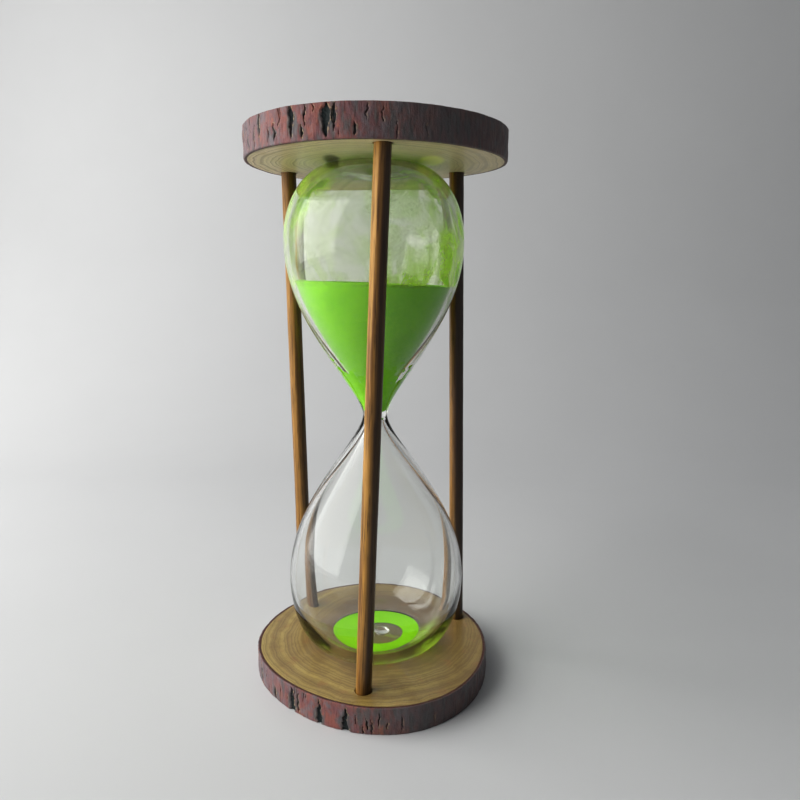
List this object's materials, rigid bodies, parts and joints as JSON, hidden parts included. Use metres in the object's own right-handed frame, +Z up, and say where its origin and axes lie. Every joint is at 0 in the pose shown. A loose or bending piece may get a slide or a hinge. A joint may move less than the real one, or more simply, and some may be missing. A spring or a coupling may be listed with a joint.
{
  "type": "hourglass",
  "caption": "Rustic sand timer: a clear blown glass double bulb with green sand, held between bark-edged wood slices by round dowels.",
  "frame": {"origin": "under the middle of the whole outline, on the surface that the base stands on", "axes": "+Z up along the glass, from the base slice to the top slice; -Y towards the front dowel; +X to the right seen from the front"},
  "size_m": [0.0992, 0.1002, 0.209],
  "materials": {
    "base_wood": "varnished end grain, golden olive brown",
    "top_wood": "varnished end grain, pale tan",
    "bark": "natural bark, reddish brown with dark cracks",
    "dowel_wood": "stained and lightly varnished, lengthwise grain",
    "clear_glass": "clear blown glass",
    "seal_glass": "whitish melted glass",
    "sand": "fine matt lime green sand"
  },
  "bodies": {
    "root": {"base_slice": "base_wood", "base_bark": "bark", "top_slice": "top_wood", "top_bark": "bark", "front_dowel": "dowel_wood", "rear_left_dowel": "dowel_wood", "rear_right_dowel": "dowel_wood", "glass_body": "clear_glass", "fill_seal": "seal_glass", "upper_sand": "sand", "lower_sand": "sand"}
  },
  "joints": []
}
